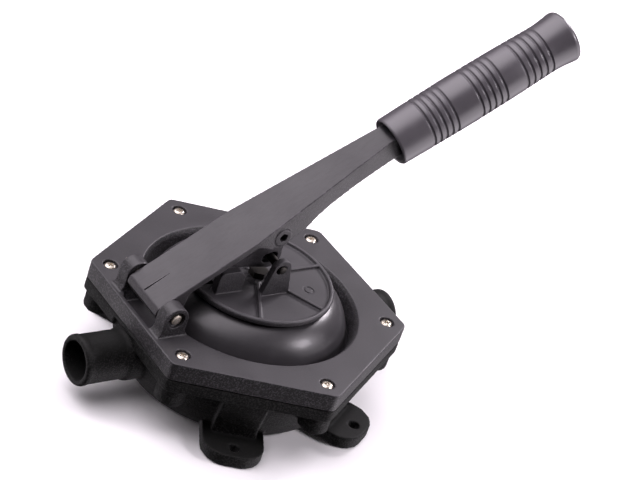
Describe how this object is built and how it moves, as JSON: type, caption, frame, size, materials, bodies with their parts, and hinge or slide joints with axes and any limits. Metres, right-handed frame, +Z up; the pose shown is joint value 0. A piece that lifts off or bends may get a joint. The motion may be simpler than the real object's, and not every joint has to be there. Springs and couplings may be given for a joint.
{
  "type": "manual diaphragm bilge pump",
  "caption": "Hand-lever diaphragm bilge pump: round bowl with inline hose ports and feet, hexagonal clamp ring, ribbed piston plate and long lever with a moulded grip.",
  "frame": {"origin": "centre of the pump body's flat underside", "axes": "+X along the two ports and towards the lever's grip, +Y along the lever's pivot pin, +Z up out of the diaphragm"},
  "size_m": [0.2876, 0.1884, 0.2329],
  "materials": {
    "body_plastic": "dark charcoal moulded plastic with a fine grained texture",
    "ring_plastic": "dark charcoal moulded plastic, satin",
    "lever_plastic": "dark charcoal glass-filled plastic, satin",
    "grip_plastic": "soft black grip, semi-gloss",
    "rubber": "smooth glossy black moulded rubber",
    "valve_plastic": "grey moulded plastic",
    "steel": "bright stainless steel"
  },
  "bodies": {
    "root": {"pump_body": "body_plastic", "clamp_ring": "ring_plastic", "ring_screw_1": "steel", "ring_screw_2": "steel", "ring_screw_3": "steel", "ring_screw_4": "steel", "ring_screw_5": "steel", "ring_screw_6": "steel", "diaphragm": "rubber", "pivot_pin": "steel", "pivot_clip": "steel", "inlet_valve_seat": "valve_plastic", "inlet_valve_retainer": "valve_plastic", "inlet_valve_screw_1": "steel", "inlet_valve_screw_2": "steel", "outlet_valve_seat": "valve_plastic", "outlet_valve_retainer": "valve_plastic", "outlet_valve_screw_1": "steel", "outlet_valve_screw_2": "steel"},
    "lever": {"lever_arm": "lever_plastic", "grip": "grip_plastic"},
    "piston": {"piston_plate": "ring_plastic", "lower_plate": "body_plastic", "centre_bolt": "steel", "centre_washer": "steel", "centre_nut": "steel", "link_pin": "steel", "link_clip": "steel"},
    "inlet_flap": {"inlet_valve_flap": "rubber"},
    "outlet_flap": {"outlet_valve_flap": "rubber"}
  },
  "joints": [
    {"name": "lever_pivot", "type": "hinge", "parent": "root", "child": "lever", "pos_m": [-0.07, 0, 0.065], "axis": [0, 1, 0], "range_deg": [-3, 24]},
    {"name": "piston_slide", "type": "slide", "parent": "root", "child": "piston", "axis": [0, 0, 1], "range_m": [-0.031, 0.0045], "deforming": ["diaphragm"]},
    {"name": "inlet_flap_hinge", "type": "hinge", "parent": "root", "child": "inlet_flap", "pos_m": [-0.0593, 0, 0.032], "axis": [0, -1, 0], "range_deg": [0, 35], "stiffness_Nm_per_rad": 0.01},
    {"name": "outlet_flap_hinge", "type": "hinge", "parent": "root", "child": "outlet_flap", "pos_m": [0.0622, 0, 0.032], "axis": [0, -1, 0], "range_deg": [0, 28], "stiffness_Nm_per_rad": 0.01}
  ],
  "couplings": [
    {"joint": "piston_slide", "follows": "lever_pivot", "m_per_rad": -0.0723}
  ]
}
